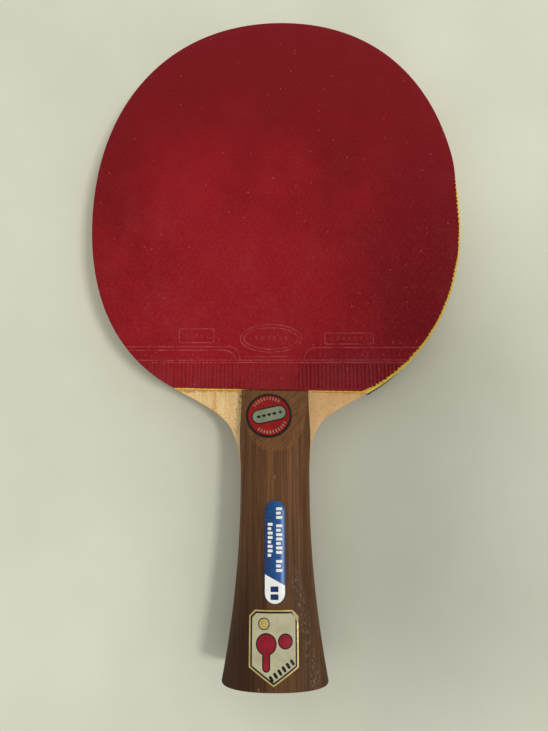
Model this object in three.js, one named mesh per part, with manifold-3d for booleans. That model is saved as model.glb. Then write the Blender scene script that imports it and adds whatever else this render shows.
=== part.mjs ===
// Table tennis paddle with a flared handle, in millimetres.
// Local frame: +X across the blade, +Y towards its tip, +Z out of the red face.
// Y = 0 is where the red topsheet ends above the handle, and Z = 0 is the middle of the core ply.
// The last lines move the origin under the middle of the paddle's box.
import * as THREE from "three";
import { mergeVertices } from "three/addons/utils/BufferGeometryUtils.js";
import Module from "manifold-3d";

const wasm = await Module();
wasm.setup();

// Head: each side of its edge, tip to lower corner, is two Bezier curves that meet at its widest point.
// It was cut by hand, so it leans a little to +X and its sides differ.
const TIP = new THREE.Vector2(2.2, 159.35);
const WIDEST_Y = 71.6;
const LEFT_SIDE = { sign: -1, reach: 73.2, corner: new THREE.Vector2(-38.7, 0.9) };
const RIGHT_SIDE = { sign: 1, reach: 74.2, corner: new THREE.Vector2(36.2, -0.4) };
const TIP_HANDLE = 45.6;
const SIDE_HANDLE_UP = 52;
const SIDE_HANDLE_DOWN = 37.7;
const CORNER_HANDLE = new THREE.Vector2(20, 10.7);

// Neck and handle: the wings are Bezier curves from the head's corners to the neck.
const WING_HANDLE = 23.5;
const WING_END_HANDLE = 26.5;
const NECK_HALF_WIDTH = 12.65;
const NECK_Y = -38;
const BELLY = 0.55;
const BELLY_Y = -17;
const BELLY_REACH = 14;
const BUTT_Y = -101.3;
const BUTT_HALF_WIDTH = 18.6;
const NECK_CROWN = 11.5;
const BUTT_CROWN = 12.3;
const NECK_POWER = 2.7;
const BUTT_POWER = 2.2;
const BUTT_ROUNDING = 0.9;
const SCALE_TOP_Y = -0.75;
const RAMP_TOP_Z = 6.3;
const RAMP_END_Y = -22;

// Layers, given as distances from the middle of the core.
const CORE_HALF = 1.8;
const INNER_PLY_OUT = 2.4;
const BLADE_HALF = 3;
const GLUE_OUT = 3.1;
const SPONGE_OUT = 5.1;
const TOPSHEET_OUT = 6.8;

// How the rubbers were trimmed: distances outwards from the blade's edge.
const GLUE_INSET = -0.3;
const GLUE_BELOW = 0.4;
const RED_BELOW = 0.2;
const SPONGE_BELOW = 0.45;
const BACK_RUBBER_PROUD = 0.4;
const BACK_FLUSH_Y = 28;
const BACK_PROUD_Y = 62;
const TOPSHEET_TRIM = -1.35;
const TRIM_START_Y = 97;
const TRIM_FULL_Y = 76;

// Badges
const ADHESIVE = 0.05;
const ROUND_BADGE = { radius: 8.35, thickness: 0.45, crown: 0.15, x: -2.25, y: -9.9 };
const NAME_PLATE = { halfWidth: 3.5, length: 33.8, y: -56.8, foil: 0.2, domeEdge: 0.25, domeRise: 0.45 };
const SHIELD_THICKNESS = 0.2;
const SHIELD_MIDDLE_X = -0.4;
const SHIELD_HALF_WIDTH = 8.3;
const SHIELD_TOP_Y = -75.6;
const SHIELD_CHAMFER = 2;
const SHIELD_SIDE_END_Y = -93.4;
const SHIELD_POINT_Y = -99.1;
const SHIELD_POINT_HALF_WIDTH = 0.25;

// How finely curves are cut into straight pieces.
const HEAD_SEGMENTS = 20;
const WING_SEGMENTS = 12;
const HANDLE_STEP = 6;
const SECTION_SEGMENTS = 20;
const DISC_SEGMENTS = 40;
const PLATE_COLUMNS = 8;
const SHIELD_COLUMNS = 12;

// ---------------------------------------------------------------- materials

function material(color, roughness, metalness = 0, opacity = 1) {
  return new THREE.MeshStandardMaterial({ color, roughness, metalness, opacity, transparent: opacity < 1 });
}

const MATERIALS = {
  redRubber: material("#8f1223", 0.45),
  blackRubber: material("#1b1a1c", 0.5),
  sponge: material("#dfa531", 0.9),
  glue: material("#8a5a2c", 0.6),
  paleVeneer: material("#d9b98c", 0.7),
  innerVeneer: material("#c79f6d", 0.75),
  coreWood: material("#dcc39c", 0.75),
  walnut: material("#6f4630", 0.6),
  foil: material("#1e4f93", 0.3, 0.6),
  clearResin: material("#f2f5f8", 0.1, 0, 0.35),
  roundBadge: material("#a5252a", 0.35, 0.3),
  shieldSticker: material("#e6dcb8", 0.35),
};

// ---------------------------------------------------------------- outlines

// One side of the head's edge, from the tip to the lower corner.
function headEdge({ sign, reach, corner }) {
  const widest = new THREE.Vector2(sign * reach, WIDEST_Y);
  const upper = new THREE.CubicBezierCurve(
    TIP,
    TIP.clone().setX(TIP.x + sign * TIP_HANDLE),
    widest.clone().setY(WIDEST_Y + SIDE_HANDLE_UP),
    widest,
  );
  const lower = new THREE.CubicBezierCurve(
    widest,
    widest.clone().setY(WIDEST_Y - SIDE_HANDLE_DOWN),
    corner.clone().add(new THREE.Vector2(sign * CORNER_HANDLE.x, CORNER_HANDLE.y)),
    corner,
  );
  return [...upper.getPoints(HEAD_SEGMENTS), ...lower.getPoints(HEAD_SEGMENTS).slice(1)];
}

// One side of the head, grown outwards, with its lower corner run on down by a distance.
function headSide(side, grow, below) {
  const edge = headEdge(side);
  const last = edge.length - 1;
  const grown = edge.map((point, i) => {
    const before = edge[Math.max(i - 1, 0)];
    const after = edge[Math.min(i + 1, last)];
    const along = after.clone().sub(before).normalize();
    const outwards = new THREE.Vector2(-along.y, along.x).multiplyScalar(side.sign);
    return point.clone().addScaledVector(outwards, grow(side, point.y));
  });
  const corner = grown[last];
  const drop = corner.y - (side.corner.y - below);
  corner.x -= (side.sign * drop * CORNER_HANDLE.x) / CORNER_HANDLE.y;
  corner.y -= drop;
  return grown;
}

// The outline of a layer of rubber, anticlockwise from its right lower corner.
function rubberOutline(grow, below) {
  const right = headSide(RIGHT_SIDE, grow, below).reverse();
  const left = headSide(LEFT_SIDE, grow, below).slice(1);
  return [...right, ...left];
}

// Half of the handle's width at a height along it. It swells a little above the neck.
function handleHalfWidth(y) {
  const share = Math.max(0, (NECK_Y - y) / (NECK_Y - BUTT_Y));
  const fromBelly = Math.min(1, Math.abs(y - BELLY_Y) / BELLY_REACH);
  const swell = BELLY * Math.cos((Math.PI / 2) * fromBelly) ** 2;
  return NECK_HALF_WIDTH + (BUTT_HALF_WIDTH - NECK_HALF_WIDTH) * share ** 2 + swell;
}

// One edge of the blade below the head: the wing, the handle's side and the butt's corner.
function shank({ sign, corner }) {
  const slope = new THREE.Vector2(sign * CORNER_HANDLE.x, CORNER_HANDLE.y).setLength(WING_HANDLE);
  const wing = new THREE.CubicBezierCurve(
    corner,
    corner.clone().sub(slope),
    new THREE.Vector2(sign * NECK_HALF_WIDTH, NECK_Y + WING_END_HANDLE),
    new THREE.Vector2(sign * NECK_HALF_WIDTH, NECK_Y),
  );
  const points = wing.getPoints(WING_SEGMENTS).slice(1);
  for (const y of handleStations(NECK_Y).slice(1)) {
    points.push(new THREE.Vector2(sign * (handleHalfWidth(y) - buttInset(y)), y));
  }
  return points;
}

// The blade's whole outline, anticlockwise from the right lower corner of its head.
function bladeOutline() {
  const head = rubberOutline(() => 0, 0);
  return [...head, ...shank(LEFT_SIDE), ...shank(RIGHT_SIDE).reverse()];
}

// Places along the handle where its section is drawn, from a start down to the butt.
function handleStations(start) {
  const stations = [];
  const end = BUTT_Y + BUTT_ROUNDING;
  const count = Math.ceil((start - end) / HANDLE_STEP);
  for (let i = 0; i <= count; i++) stations.push(start + ((end - start) * i) / count);
  stations.push(BUTT_Y + BUTT_ROUNDING / 3, BUTT_Y);
  return stations;
}

// How far the butt's rounded edge has drawn in.
function buttInset(y) {
  const into = Math.max(0, BUTT_Y + BUTT_ROUNDING - y);
  return BUTT_ROUNDING - Math.sqrt(Math.max(0, BUTT_ROUNDING ** 2 - into ** 2));
}

// ---------------------------------------------------------------- handle surface

// How far down the grip a height lies, from 0 at the neck to 1 at the butt.
function gripShare(y) {
  return THREE.MathUtils.clamp((NECK_Y - y) / (NECK_Y - BUTT_Y), 0, 1);
}

function crownHeight(y) {
  return THREE.MathUtils.lerp(NECK_CROWN, BUTT_CROWN, gripShare(y));
}

// The section over each face of the blade is half a superellipse of this power.
function sectionPower(y) {
  return THREE.MathUtils.lerp(NECK_POWER, BUTT_POWER, gripShare(y));
}

// Height of the handle's crowned surface over the middle plane.
function handleSurface(x, y) {
  const power = sectionPower(y);
  const across = Math.min(1, Math.abs(x) / handleHalfWidth(y));
  return BLADE_HALF + (crownHeight(y) - BLADE_HALF) * (1 - across ** power) ** (1 / power);
}

const RAMP_SLOPE = (crownHeight(RAMP_END_Y) - RAMP_TOP_Z) / -RAMP_END_Y;

function rampHeight(y) {
  return RAMP_TOP_Z - RAMP_SLOPE * y;
}

// ---------------------------------------------------------------- solids

// A flat layer with the given outline. Its faces lie at exactly low and high.
function layer(outline, low, high) {
  const geometry = new THREE.ExtrudeGeometry(new THREE.Shape(outline), {
    depth: high - low,
    bevelEnabled: false,
  });
  const position = geometry.getAttribute("position");
  const middle = (high - low) / 2;
  for (let i = 0; i < position.count; i++) {
    position.setZ(i, position.getZ(i) > middle ? high : low);
  }
  return geometry;
}

// A closed surface through rings of equal length, listed from high Y to low Y. Each ring runs
// from +X over the top to -X, and capOf lists the triangles that close the first of them.
function loft(rings, capOf) {
  const count = rings[0].length;
  const last = (rings.length - 1) * count;
  const index = [];
  for (let start = 0; start < last; start += count) {
    for (let i = 0; i < count; i++) {
      const a = start + i;
      const b = start + ((i + 1) % count);
      index.push(a, b, b + count, a, b + count, a + count);
    }
  }
  for (const [a, b, c] of capOf(count)) {
    index.push(a, b, c, last + a, last + c, last + b);
  }
  const positions = rings.flat().flatMap((point) => point.toArray());
  const geometry = new THREE.BufferGeometry();
  geometry.setAttribute("position", new THREE.Float32BufferAttribute(positions, 3));
  geometry.setIndex(index);
  return geometry;
}

// Closes a convex ring with triangles that share its first point.
function fanCap(count) {
  const triangles = [];
  for (let i = 1; i + 1 < count; i++) triangles.push([0, i + 1, i]);
  return triangles;
}

// Closes a thin ring with quads between its upper and lower edges.
function stripCap(count) {
  const triangles = [];
  for (let i = 0; i + 1 < count / 2; i++) {
    const below = count - 1 - i;
    triangles.push([i, below - 1, i + 1], [i, below, below - 1]);
  }
  return triangles;
}

function toSolid(geometry) {
  const bare = geometry.clone();
  bare.deleteAttribute("normal");
  bare.deleteAttribute("uv");
  const merged = mergeVertices(bare);
  const mesh = new wasm.Mesh({
    numProp: 3,
    vertProperties: merged.getAttribute("position").array,
    triVerts: new Uint32Array(merged.index.array),
  });
  return new wasm.Manifold(mesh);
}

function toGeometry(solid) {
  const mesh = solid.getMesh();
  const geometry = new THREE.BufferGeometry();
  geometry.setAttribute("position", new THREE.BufferAttribute(mesh.vertProperties, 3));
  geometry.setIndex(new THREE.BufferAttribute(mesh.triVerts, 1));
  geometry.computeVertexNormals();
  return geometry;
}

// Half of the handle's section above the blade, from +X over the crown to -X.
function scaleRing(y) {
  const rise = crownHeight(y) - BLADE_HALF - buttInset(y);
  const width = handleHalfWidth(y) - buttInset(y);
  const power = 2 / sectionPower(y);
  const ring = [];
  for (let i = 0; i <= SECTION_SEGMENTS; i++) {
    const angle = (Math.PI * i) / SECTION_SEGMENTS;
    const x = width * Math.sign(Math.cos(angle)) * Math.abs(Math.cos(angle)) ** power;
    const lift = i % SECTION_SEGMENTS === 0 ? 0 : rise * Math.sin(angle) ** power;
    ring.push(new THREE.Vector3(x, y, BLADE_HALF + lift));
  }
  return ring;
}

// The space over the ramp, cut from the upper end of each handle scale.
function rampCutter() {
  const beyond = 5;
  const roof = BUTT_CROWN + beyond;
  const profile = new THREE.Shape([
    new THREE.Vector2(beyond, rampHeight(beyond)),
    new THREE.Vector2(beyond, roof),
    new THREE.Vector2((RAMP_TOP_Z - roof) / RAMP_SLOPE, roof),
  ]);
  const width = 4 * NECK_HALF_WIDTH;
  const geometry = new THREE.ExtrudeGeometry(profile, { depth: width, bevelEnabled: false });
  const axes = new THREE.Matrix4().makeBasis(
    new THREE.Vector3(0, 1, 0),
    new THREE.Vector3(0, 0, 1),
    new THREE.Vector3(1, 0, 0),
  );
  return geometry.translate(0, 0, -width / 2).applyMatrix4(axes);
}

function scaleGeometry() {
  const block = loft(handleStations(SCALE_TOP_Y).map(scaleRing), fanCap);
  return toGeometry(toSolid(block).subtract(toSolid(rampCutter())));
}

// A thin piece stuck on the crowned handle. Each station is { y, left, right }, from high Y to low Y.
function sheetOnHandle(stations, columns, lower, upper) {
  const rings = stations.map(({ y, left, right }) => {
    const over = [];
    const under = [];
    for (let i = 0; i <= columns; i++) {
      const x = right + ((left - right) * i) / columns;
      const base = handleSurface(x, y) + ADHESIVE;
      const share = (2 * i) / columns - 1;
      over.push(new THREE.Vector3(x, y, base + upper(share, y)));
      under.unshift(new THREE.Vector3(x, y, base + lower));
    }
    return [...over, ...under];
  });
  return loft(rings, stripCap);
}

// ---------------------------------------------------------------- pieces

const paddle = new THREE.Group();

function add(parent, name, geometry, surface) {
  const mesh = new THREE.Mesh(geometry, surface);
  mesh.name = name;
  parent.add(mesh);
  return mesh;
}

// A piece and its twin on the other face of the blade.
function addPair(name, geometry, frontMaterial, backMaterial = frontMaterial) {
  add(paddle, "front_" + name, geometry, frontMaterial);
  add(paddle, "back_" + name, geometry, backMaterial).scale.z = -1;
}

function addBlade() {
  const outline = bladeOutline();
  add(paddle, "core_ply", layer(outline, -CORE_HALF, CORE_HALF), MATERIALS.coreWood);
  addPair("inner_ply", layer(outline, CORE_HALF, INNER_PLY_OUT), MATERIALS.innerVeneer);
  addPair("outer_ply", layer(outline, INNER_PLY_OUT, BLADE_HALF), MATERIALS.paleVeneer);
}

// The red topsheet was trimmed well inside the sponge along the lower right of its edge.
function redTrim(side, y) {
  const share = THREE.MathUtils.smoothstep(-y, -TRIM_START_Y, -TRIM_FULL_Y);
  return side === RIGHT_SIDE ? TOPSHEET_TRIM * share : 0;
}

// The black topsheet stands proud of the blade's edge, but not along the lower left.
function blackProud(side, y) {
  const share = side === LEFT_SIDE ? THREE.MathUtils.smoothstep(y, BACK_FLUSH_Y, BACK_PROUD_Y) : 1;
  return BACK_RUBBER_PROUD * share;
}

function addRubbers() {
  const glue = rubberOutline(() => GLUE_INSET, GLUE_BELOW);
  const sponge = rubberOutline(() => 0, SPONGE_BELOW);
  const red = rubberOutline(redTrim, RED_BELOW);
  const black = rubberOutline(blackProud, 0);
  addPair("glue_film", layer(glue, BLADE_HALF, GLUE_OUT), MATERIALS.glue);
  addPair("sponge", layer(sponge, GLUE_OUT, SPONGE_OUT), MATERIALS.sponge);
  add(paddle, "front_topsheet", layer(red, SPONGE_OUT, TOPSHEET_OUT), MATERIALS.redRubber);
  const back = add(paddle, "back_topsheet", layer(black, SPONGE_OUT, TOPSHEET_OUT), MATERIALS.blackRubber);
  back.scale.z = -1;
}

function addRoundBadge() {
  const { radius, thickness, crown, x, y } = ROUND_BADGE;
  const profile = [
    new THREE.Vector2(0, ADHESIVE),
    new THREE.Vector2(radius, ADHESIVE),
    new THREE.Vector2(radius, ADHESIVE + thickness / 2),
    new THREE.Vector2(radius - thickness / 2, ADHESIVE + thickness),
    new THREE.Vector2(radius / 2, ADHESIVE + thickness + crown * 0.75),
    new THREE.Vector2(0, ADHESIVE + thickness + crown),
  ];
  const geometry = new THREE.LatheGeometry(profile, DISC_SEGMENTS).rotateX(Math.PI / 2);
  const onRamp = new THREE.Group();
  onRamp.position.set(x, y, rampHeight(y));
  onRamp.rotation.x = -Math.atan(RAMP_SLOPE);
  add(onRamp, "round_badge", geometry, MATERIALS.roundBadge);
  paddle.add(onRamp);
}

// Distances along the name plate's middle line, from its upper end to its lower end.
function plateReaches(straight) {
  const endSteps = 6;
  const lastAngle = THREE.MathUtils.degToRad(84);
  const end = (i) => straight + NAME_PLATE.halfWidth * Math.sin((lastAngle * i) / endSteps);
  const reaches = [];
  for (let i = endSteps; i > 0; i--) reaches.push(end(i));
  for (let i = 3; i >= -3; i--) reaches.push((straight * i) / 3);
  for (let i = 1; i <= endSteps; i++) reaches.push(-end(i));
  return reaches;
}

// A stadium-shaped foil under a clear dome.
function addNamePlate() {
  const { halfWidth, length, y, foil, domeEdge, domeRise } = NAME_PLATE;
  const straight = length / 2 - halfWidth;
  const pastStraight = (reach) => Math.max(0, Math.abs(reach) - straight) / halfWidth;
  const stations = plateReaches(straight).map((reach) => {
    const half = halfWidth * Math.sqrt(1 - pastStraight(reach) ** 2);
    return { y: y + reach, left: -half, right: half };
  });
  const domeTop = (share, at) => {
    const rise = (1 - share ** 2) * (1 - pastStraight(at - y) ** 2);
    return foil + domeEdge + domeRise * rise;
  };
  const domeBottom = foil + ADHESIVE / 2;
  const foilSheet = sheetOnHandle(stations, PLATE_COLUMNS, 0, () => foil);
  const domeSheet = sheetOnHandle(stations, PLATE_COLUMNS, domeBottom, domeTop);
  add(paddle, "name_plate_foil", foilSheet, MATERIALS.foil);
  add(paddle, "name_plate_dome", domeSheet, MATERIALS.clearResin);
}

// Evenly spaced numbers between two ends, without the first.
function spread(from, to, count) {
  return Array.from({ length: count }, (_, i) => from + ((to - from) * (i + 1)) / count);
}

// A five-sided shield with its two upper corners cut off.
function addShieldBadge() {
  const bend = SHIELD_TOP_Y - SHIELD_CHAMFER;
  const halfWidthAt = (y) => {
    const chamfer = Math.max(0, y - bend);
    const taper = Math.max(0, SHIELD_SIDE_END_Y - y) / (SHIELD_SIDE_END_Y - SHIELD_POINT_Y);
    return THREE.MathUtils.lerp(SHIELD_HALF_WIDTH - chamfer, SHIELD_POINT_HALF_WIDTH, taper);
  };
  const heights = [
    SHIELD_TOP_Y,
    bend,
    ...spread(bend, SHIELD_SIDE_END_Y, 5),
    ...spread(SHIELD_SIDE_END_Y, SHIELD_POINT_Y, 3),
  ];
  const stations = heights.map((y) => ({
    y,
    left: SHIELD_MIDDLE_X - halfWidthAt(y),
    right: SHIELD_MIDDLE_X + halfWidthAt(y),
  }));
  const sheet = sheetOnHandle(stations, SHIELD_COLUMNS, 0, () => SHIELD_THICKNESS);
  add(paddle, "shield_badge", sheet, MATERIALS.shieldSticker);
}

addBlade();
addPair("handle_scale", scaleGeometry(), MATERIALS.walnut);
addRubbers();
addRoundBadge();
addNamePlate();
addShieldBadge();

// The origin is put on the surface the paddle lies on, under the middle of its box.
const box = new THREE.Box3().setFromObject(paddle, true);
const middle = box.getCenter(new THREE.Vector3());
paddle.position.set(-middle.x, -middle.y, -box.min.z);

export default paddle;
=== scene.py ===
"""A used table tennis paddle, lying red side up on a pale table.

The shapes are worked out in millimetres of the paddle's own frame: +X across the blade, +Y
towards its tip, +Z out of the red face, with Y = 0 where the red sheet ends above the handle
and Z = 0 in the middle of the blade. add_piece() puts them in metres into the row frame.
"""
import math
from functools import partial

import bpy
import numpy as np
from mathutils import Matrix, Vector, kdtree, noise
from mathutils.geometry import delaunay_2d_cdt


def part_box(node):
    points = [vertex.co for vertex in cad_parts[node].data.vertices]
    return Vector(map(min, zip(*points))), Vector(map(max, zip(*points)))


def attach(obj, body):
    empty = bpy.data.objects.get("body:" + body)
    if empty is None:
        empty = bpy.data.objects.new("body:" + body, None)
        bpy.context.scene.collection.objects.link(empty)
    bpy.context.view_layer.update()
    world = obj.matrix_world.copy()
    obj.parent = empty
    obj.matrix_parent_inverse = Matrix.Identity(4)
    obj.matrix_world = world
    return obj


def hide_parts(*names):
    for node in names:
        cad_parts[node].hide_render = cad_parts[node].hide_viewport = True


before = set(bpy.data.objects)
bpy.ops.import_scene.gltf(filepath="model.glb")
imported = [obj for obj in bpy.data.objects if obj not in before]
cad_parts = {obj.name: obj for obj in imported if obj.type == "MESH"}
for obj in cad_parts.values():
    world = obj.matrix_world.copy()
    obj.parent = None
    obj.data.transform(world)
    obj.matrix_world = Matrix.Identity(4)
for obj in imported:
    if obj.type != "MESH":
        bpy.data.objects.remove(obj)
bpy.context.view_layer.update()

MM = 0.001

# Head of the blade: two Bezier curves a side, from the tip to the lower corner.
TIP = np.array([2.2, 159.35])
WIDEST_Y = 71.6
LEFT = {"sign": -1, "reach": 73.2, "corner": np.array([-38.7, 0.9])}
RIGHT = {"sign": 1, "reach": 74.2, "corner": np.array([36.2, -0.4])}
TIP_HANDLE = 45.6
SIDE_HANDLE_UP = 52
SIDE_HANDLE_DOWN = 37.7
CORNER_HANDLE = np.array([20, 10.7])

# Neck and handle
WING_HANDLE = 23.5
WING_END_HANDLE = 26.5
NECK_HALF_WIDTH = 12.65
NECK_Y = -38
BELLY = 0.55
BELLY_Y = -17
BELLY_REACH = 14
BUTT_Y = -101.3
BUTT_HALF_WIDTH = 18.6
NECK_CROWN = 11.5
BUTT_CROWN = 12.3
NECK_POWER = 2.7
BUTT_POWER = 2.2
BUTT_ROUNDING = 0.9
SCALE_TOP_Y = -0.75
SCALE_TOP_FADE = 4
SCALE_GAP = 0.05
SCALE_TOP_ROUNDING = 0.3
RAMP_TOP_Z = 6.3
RAMP_END_Y = -22
RAMP_SLOPE = (NECK_CROWN - RAMP_TOP_Z) / -RAMP_END_Y
BLADE_HALF = 3
NECK_SANDING = 1.0
WING_POINTS = 60

# Rubbers
GLUE_INSET = 0.3
GLUE_BELOW = 0.4
RED_BELOW = 0.2
SPONGE_BELOW = 0.45
BACK_RUBBER_PROUD = 0.4
BACK_FLUSH_Y = 28
BACK_PROUD_Y = 62
RED_TRIM = 0.9
TOOTH_PITCH = 1.75
TOOTH_DEPTH = 0.6
RED_TRIM_START_Y = 97
RED_TRIM_FULL_Y = 76
SHEET_SKIN = 0.8
SHEET_ROUNDING = 0.12
PIP_PITCH = 2.3
PIP_RADIUS = 0.82
PIP_BAND = 5.5

# Middle and reach of the sheet's paler patch: worn by play, and also painted light
PLAYED_AND_LIT_MIDDLE = (-12, 42)
PLAYED_AND_LIT_REACH = (68, 80)

# Moulding of the rubber sheets, next to the handle
RELIEF_TOP_Y = 27
RIDGE = 0.42
RIDGE_HEIGHT = 0.14
RIB_PITCH = 1.47
RIB_TOP_Y = 10.0
GROOVE_DEPTH = 0.15
FRAME_LOW_Y = 11.1
BAR_HEIGHT = RIDGE_HEIGHT * 0.64
# Left, right and top of each frame line
FRAME_LINES = ((-90, -13.3, 16.4), (-90, -14.9, 15.0), (11.0, 90, 16.0))
# Left, right, low, high and pitch of each row of bars, and the bars' share where it isn't 0.6
BAR_ROWS = (
    (20.6, 36, 18.6, 20.4, 2.2),
    (-35, -25, 19.8, 21.8, 2.0),
    (-36, -24, 17.0, 17.4, 2.9, 0.75),
    (43.5, 49, 17.3, 18.9, 2.6),
    (16, 52, 12.4, 13.9, 2.0, 0.5),
    (-37.5, -23, 12.4, 13.9, 1.8, 0.5),
    (-8.4, 5.4, 18.5, 20.8, 2.3, 0.5),
)

# Badges
ADHESIVE = 0.05
ROUND_BADGE = {"x": -2.25, "y": -9.9, "radius": 8.35, "thickness": 0.45}
BADGE_RIM = 0.78
BADGE_SUNK = 0.1
BADGE_FIELD = 0.06
BADGE_BAR = {"middle": np.array([0.1, 0.2]), "length": 13.2, "width": 5.7, "line": 0.45}
BADGE_TILT = math.radians(13)
TICK_REACH = 6.45
TICK_PITCH = 9.8
TICK_ARCS = ((101, 10), (-75, 11))
PLATE = {"half_width": 3.5, "length": 33.8, "y": -56.8, "foil": 0.2, "edge": 0.25, "rise": 0.45}
PLATE_BARS = ((1.45, -42.2, 3, 2.1), (1.45, -47.9, 7, 2.1), (1.45, -59.6, 3, 2.1), (-1.65, -47.4, 8, 1.7))
PLATE_BAR_PITCH = 1.46
PLATE_BAR_LENGTH = 0.95
RESIN_GAP = 0.09
SHIELD = {"x": -0.4, "half_width": 8.3, "top": -75.6, "side_end": -93.4, "point": -99.1}
SHIELD_CHAMFER = 2
SHIELD_THICKNESS = 0.2
PRINT = 0.03
PRINT_STEP = 0.8

CURVE_POINTS = 300
EDGE_STEP = 0.6

# Studio, in metres of the row frame
FLOOR_HALF = 3.0
KEY_PLACE = (1.245, -0.453, 2.12)
KEY_POWER = 28
KEY_SIZE = 0.5
KEY_COLOUR = (1, 0.995, 0.95)
FLAG_PLACE = (0.257, -0.131, 0.36)
FLAG_HALF = (0.045, 0.085)
SKY_COLOUR = (0.98, 0.99, 0.95, 1)
SKY_DIMMING = {"From Min": 0.72, "From Max": 0.97, "To Min": 0.78, "To Max": 0.28}

# Camera: its place in millimetres of the paddle's frame, its turn in degrees, and its lens
CAMERA_PLACE = np.array([1.16, -24.77, 192.5])
CAMERA_TURN = (10.332, 0.477, 0.026)
CAMERA_LENS = 24.62

# The paddle's own frame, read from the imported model.
scale_low, scale_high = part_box("front_handle_scale")
core_low, core_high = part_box("core_ply")
ORIGIN = np.array([
    (scale_low.x + scale_high.x) / 2,
    core_low.y - BUTT_Y * MM,
    (core_low.z + core_high.z) / 2,
])


def node_span(node):
    """Lowest and highest z of a CAD node, in millimetres from the middle of the blade."""
    low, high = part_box(node)
    return (low.z - ORIGIN[2]) / MM, (high.z - ORIGIN[2]) / MM


# ---- outlines

def bezier(start, start_handle, end_handle, end, count=CURVE_POINTS):
    t = np.linspace(0, 1, count + 1)[:, None]
    rest = 1 - t
    return (rest**3 * start + 3 * rest**2 * t * start_handle
            + 3 * rest * t**2 * end_handle + t**3 * end)


def smoothstep(low, high, value):
    share = np.clip((value - low) / (high - low), 0, 1)
    return share * share * (3 - 2 * share)


def unit(vectors):
    return vectors / np.linalg.norm(vectors, axis=1, keepdims=True)


def right_of(vectors):
    """The vectors turned a quarter to the right."""
    return np.stack([vectors[:, 1], -vectors[:, 0]], axis=1)


def directions(angles):
    return np.stack([np.cos(angles), np.sin(angles)], axis=1)


def head_edge(side):
    """One side of the head's edge, from the tip to the lower corner."""
    sign, corner = side["sign"], side["corner"]
    widest = np.array([sign * side["reach"], WIDEST_Y])
    upper = bezier(TIP, TIP + [sign * TIP_HANDLE, 0], widest + [0, SIDE_HANDLE_UP], widest)
    lower = bezier(widest, widest - [0, SIDE_HANDLE_DOWN],
                   corner + CORNER_HANDLE * [sign, 1], corner)
    return np.concatenate([upper, lower[1:]])


def head_side(side, grow, below):
    """A side of the head grown outwards, with its lower corner run on down by a distance."""
    edge = head_edge(side)
    outwards = -side["sign"] * right_of(unit(np.gradient(edge, axis=0)))
    grown = edge + outwards * np.reshape(grow(side, edge[:, 1]), (-1, 1))
    low_y = side["corner"][1] - below
    drop = grown[-1, 1] - low_y
    corner = grown[-1] - [side["sign"] * drop * CORNER_HANDLE[0] / CORNER_HANDLE[1], drop]
    kept = grown[:-1][grown[:-1, 1] > low_y + EDGE_STEP / 3]
    return np.concatenate([kept, [corner]])


def subdivided(outline, step):
    """The closed outline with its long edges cut into steps."""
    points = []
    for start, end in zip(outline, np.roll(outline, -1, axis=0)):
        count = max(1, math.ceil(np.linalg.norm(end - start) / step - 1e-6))
        points += [start + (end - start) * i / count for i in range(count)]
    return np.array(points)


def rubber_outline(grow, below):
    """Outline of a rubber layer, anticlockwise from its right lower corner."""
    right = head_side(RIGHT, grow, below)[::-1]
    left = head_side(LEFT, grow, below)[1:]
    return subdivided(np.concatenate([right, left]), EDGE_STEP)


def handle_half_width(y):
    """Half of the handle's width, which swells a little above the neck and flares to the butt."""
    share = np.maximum(0, (NECK_Y - y) / (NECK_Y - BUTT_Y))
    from_belly = np.minimum(1, np.abs(y - BELLY_Y) / BELLY_REACH)
    swell = BELLY * np.cos(math.pi / 2 * from_belly) ** 2
    return NECK_HALF_WIDTH + (BUTT_HALF_WIDTH - NECK_HALF_WIDTH) * share**2 + swell


def rounding(depth, radius):
    """How far a rounded edge has drawn in at a depth into its rounding."""
    depth = np.clip(depth, 0, radius)
    return radius - np.sqrt(radius**2 - depth**2)


def butt_inset(y):
    return rounding(BUTT_Y + BUTT_ROUNDING - y, BUTT_ROUNDING)


def shank(side):
    """One edge of the blade below the head: the wing, the handle's side and the butt's corner."""
    sign, corner = side["sign"], side["corner"]
    slope = CORNER_HANDLE * [sign, 1]
    slope = slope / np.linalg.norm(slope) * WING_HANDLE
    neck = np.array([sign * NECK_HALF_WIDTH, NECK_Y])
    wing = bezier(corner, corner - slope, neck + [0, WING_END_HANDLE], neck, WING_POINTS)
    y = handle_stations(NECK_Y)[1:]
    x = sign * (handle_half_width(y) - butt_inset(y))
    return np.concatenate([wing[1:], np.stack([x, y], axis=1)])


def handle_stations(start, step=1.5, butt_steps=6):
    """Places along the handle where its section is drawn, closer together at the butt."""
    end = BUTT_Y + BUTT_ROUNDING
    count = math.ceil((start - end) / step)
    turn = np.linspace(0, math.pi / 2, butt_steps + 1)[1:]
    return np.concatenate([np.linspace(start, end, count + 1), end - BUTT_ROUNDING * np.sin(turn)])


def blade_outline():
    head = np.concatenate([head_edge(RIGHT)[::-1], head_edge(LEFT)[1:]])
    outline = np.concatenate([head, shank(LEFT), shank(RIGHT)[::-1]])
    return subdivided(outline, 2 * EDGE_STEP)


def moved_in(outline, inset):
    """The closed anticlockwise outline with every point moved inwards."""
    out_ahead = right_of(unit(np.roll(outline, -1, axis=0) - outline))
    out_behind = np.roll(out_ahead, 1, axis=0)
    shared = np.maximum(0.6, 1 + np.sum(out_ahead * out_behind, axis=1, keepdims=True))
    return outline - (out_ahead + out_behind) / shared * np.reshape(inset, (-1, 1))


# ---- surfaces

def flat(x, y, height):
    return np.stack([x, y, height + 0 * x], axis=1)


def grip_share(y):
    """How far down the grip a height lies, from 0 at the neck to 1 at the butt."""
    return np.clip((NECK_Y - y) / (NECK_Y - BUTT_Y), 0, 1)


def crown_height(y):
    return NECK_CROWN + (BUTT_CROWN - NECK_CROWN) * grip_share(y)


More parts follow.
